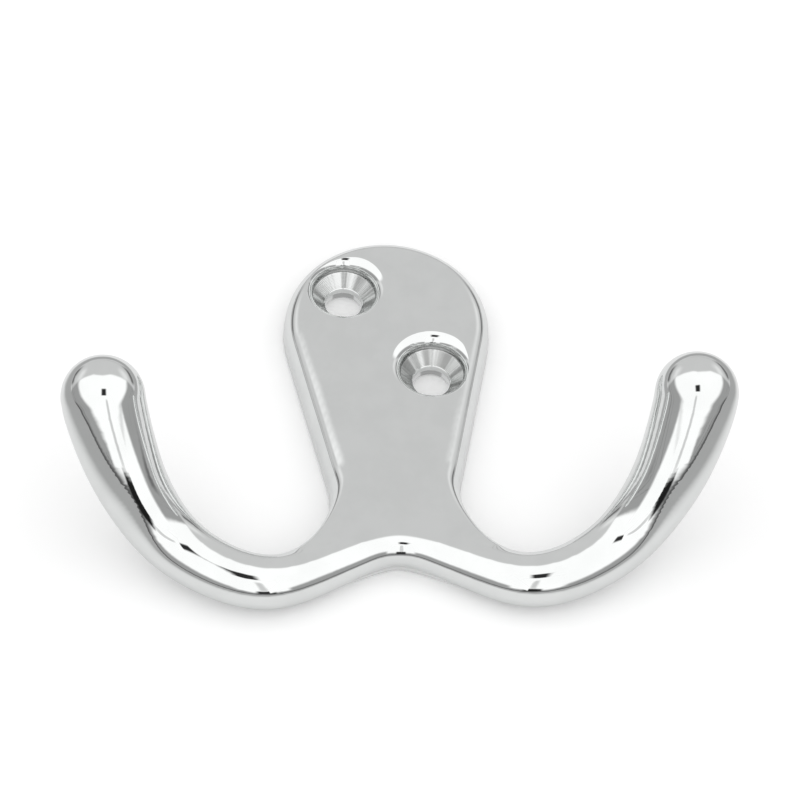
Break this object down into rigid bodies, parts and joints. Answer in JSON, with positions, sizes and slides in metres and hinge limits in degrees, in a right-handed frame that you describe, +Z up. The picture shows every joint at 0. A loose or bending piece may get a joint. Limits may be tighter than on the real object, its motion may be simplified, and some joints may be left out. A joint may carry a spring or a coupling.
{
  "type": "double robe hook",
  "caption": "Polished cast robe hook: a paddle-shaped wall plate with countersunk screw holes, and arms that fork from its foot and curl forward and up to rounded ends.",
  "frame": {"origin": "midway between the screw holes, on the flat back that lies against the wall", "axes": "+X to the right as seen from the room, +Z up the wall, +Y into the wall, so the arms stand out towards -Y"},
  "size_m": [0.0708, 0.0222, 0.0486],
  "materials": {
    "plated_casting": "bright polished plating"
  },
  "bodies": {
    "root": {"robe_hook": "plated_casting"}
  },
  "joints": []
}
